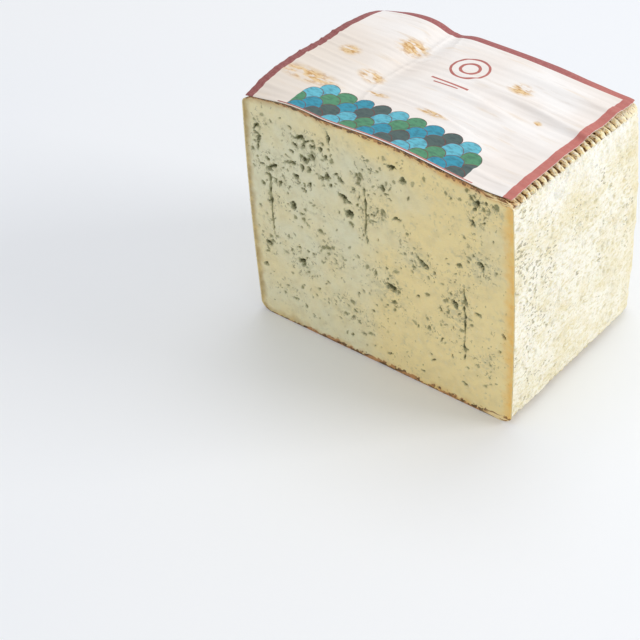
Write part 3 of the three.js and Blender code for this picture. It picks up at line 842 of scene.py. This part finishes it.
def painted(number):
    """The colour of the scallop with this number, brushed unevenly."""
    colour = scallop_colours[0]
    for turn, other in enumerate(scallop_colours[1:], start=1):
        left_over = paper.sum("FLOORED_MODULO", number, float(len(scallop_colours)))
        chosen = paper.sum("COMPARE", left_over, float(turn), 0.5)
        colour = paper.blend(chosen, colour, other)
    return paper.blend(paper.patches(1.6 * mm, 3, 0.4, 0.7, 0, 0.4, (2, 1, 1)), colour, brush_dark)


frieze_colour = paper.blend(on_scallop, painted(next_number), painted(own_number))
outline = paper.times(paper.span(reach, 0.46, 0.48), paper.span(reach, 0.52, 0.50), 0.8)
frieze_colour = paper.blend(outline, frieze_colour, scallop_outline)


def inside_bar(left, right, low, top, soft=0.15):
    """1 inside an upright rectangle on the paper, in millimetres."""
    return paper.times(
        paper.span(paper_x, (left - soft) * mm, (left + soft) * mm),
        paper.span(paper_x, (right + soft) * mm, (right - soft) * mm),
        paper.span(paper_y, (low - soft) * mm, (low + soft) * mm),
        paper.span(paper_y, (top + soft) * mm, (top - soft) * mm),
    )


# The top row holds only whole scallops
frieze_top = frieze_low + scallop_high * frieze_rows
painted_row = paper.plus(row, paper.sum("SUBTRACT", 1.0, on_scallop))
in_top_row = inside_bar(
    frieze_left + scallop_wide / 2, frieze_right - scallop_wide / 2, frieze_low, frieze_top, 0.01
)
below_top_row = paper.sum("LESS_THAN", painted_row, frieze_rows - 1.5)
in_frieze = paper.times(
    inside_bar(frieze_left, frieze_right, frieze_low, frieze_top),
    paper.sum("LESS_THAN", painted_row, frieze_rows - 0.5),
    paper.sum("MAXIMUM", in_top_row, below_top_row),
)
print_and_shade_colour = paper.blend(in_frieze, print_and_shade_colour, frieze_colour)

# A plain double ring and two bars stand in the middle, and a red band runs around three sides
ring_reach = from_spot(0.5, 24.5)
from_edge_mask = paper.mask("from_edge")
border_end = border_start + border_width
red_prints = [
    paper.times(paper.span(ring_reach, 9.9, 10.1), paper.span(ring_reach, 11.6, 11.4)),
    paper.times(paper.span(ring_reach, 4.4, 4.6), paper.span(ring_reach, 6.4, 6.2)),
    inside_bar(-11.5, 12.5, 4.6, 6.4),
    inside_bar(-7.5, 8.5, 1.2, 2.2),
    inside_bar(frieze_left - 6, frieze_right + 6, frieze_low - 0.9, frieze_low),
    paper.times(
        paper.span(from_edge_mask, border_start - soft_edge, border_start + soft_edge),
        paper.span(from_edge_mask, border_end + soft_edge, border_end - soft_edge),
    ),
]
red_print = red_prints[0]
for other in red_prints[1:]:
    red_print = paper.sum("MAXIMUM", red_print, other)
# Painted shade: the red print is coloured darker towards the left and along the back, where the sheet
# falls away from the light
shaded_red = paper.blend(paper.span(paper_x, -half, 0.4 * half), srgb(148, 84, 82), border_red)
at_back = paper.span(paper_y, 25 * mm, 52 * mm)
at_back = paper.times(at_back, paper.span(paper_x, 75 * mm, 30 * mm, 0.2, 0.8))
shaded_red = paper.blend(at_back, shaded_red, srgb(160, 92, 92))
worn_and_shaded_red = paper.blend(paper.patches(1.2 * mm, 3, 0.4, 0.7, 0, 0.25), shaded_red, srgb(206, 150, 142))
print_and_shade_colour = paper.blend(red_print, print_and_shade_colour, worn_and_shaded_red)
paper.join(print_and_shade_colour, paper.surface.inputs["Base Color"])
paper.surface.inputs["Roughness"].default_value = 0.6
paper.surface.inputs["Specular IOR Level"].default_value = 0.3
paper.bump(paper.noise(0.5 * mm, 3), 0.03 * mm)
label.data.materials.append(paper.material)
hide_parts("label")
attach(label, "root")

# The studio
# A plain pale floor, a broad soft light from the right, and the camera of the photograph.
floor_mesh = bpy.data.meshes.new("floor")
floor_size = 4.0
floor_corners = [(-1, -1, 0), (1, -1, 0), (1, 1, 0), (-1, 1, 0)]
floor_mesh.from_pydata([Vector(c) * floor_size for c in floor_corners], [], [(0, 1, 2, 3)])
floor = bpy.data.objects.new("floor", floor_mesh)
bpy.context.scene.collection.objects.link(floor)
ground = Shader("pale_floor")
clouds = ground.patches(0.5, 2, 0.3, 0.7)
ground_colour = ground.blend(clouds, srgb(242, 244, 247), srgb(245, 246, 247))
ground.join(ground_colour, ground.surface.inputs["Base Color"])
ground.surface.inputs["Roughness"].default_value = 0.5
floor.data.materials.append(ground.material)


def add_soft_light(name, place, size, power):
    """A square lamp that faces the block."""
    lamp = bpy.data.lights.new(name, "AREA")
    lamp.shape = "SQUARE"
    lamp.size = size
    lamp.energy = power
    made = bpy.data.objects.new(name, lamp)
    made.location = place
    towards_block = Vector((0, 0, flat_top / 2)) - made.location
    made.rotation_euler = towards_block.to_track_quat("-Z", "Y").to_euler()
    bpy.context.scene.collection.objects.link(made)


add_soft_light("window_light", Vector((1.9, 1.1, 1.1)), 1.2, 25)
add_soft_light("ceiling_light", Vector((-0.3, 0.8, 2.3)), 1.4, 11)
world = bpy.data.worlds.new("studio")
world.use_nodes = True
world.node_tree.nodes["Background"].inputs["Color"].default_value = srgb(244, 246, 250)
world.node_tree.nodes["Background"].inputs["Strength"].default_value = 0.74
bpy.context.scene.world = world
bpy.context.scene.view_settings.view_transform = "Standard"

# The photograph's camera, about a point at the foot of the cut
camera_turn, camera_tilt, camera_roll = radians(41.9), radians(51.04), radians(-4.3)
camera_shift = Vector((-34.8 * mm, 23.3 * mm))
camera_distance = 1031.2 * mm
photo_focus_px, photo_width_px = 1818, 640
camera_data = bpy.data.cameras.new("camera")
camera_data.sensor_width = 36
camera_data.lens = camera_data.sensor_width * photo_focus_px / photo_width_px
camera = bpy.data.objects.new("camera", camera_data)
facing = Matrix.Rotation(camera_turn, 4, "Z") @ Matrix.Rotation(camera_tilt, 4, "X")
facing = facing @ Matrix.Rotation(camera_roll, 4, "Z")
stand = Matrix.Translation(Vector((0, cut_y, 2 * mm)))
camera.matrix_world = stand @ facing @ Matrix.Translation((*camera_shift, camera_distance))
bpy.context.scene.collection.objects.link(camera)
bpy.context.scene.camera = camera
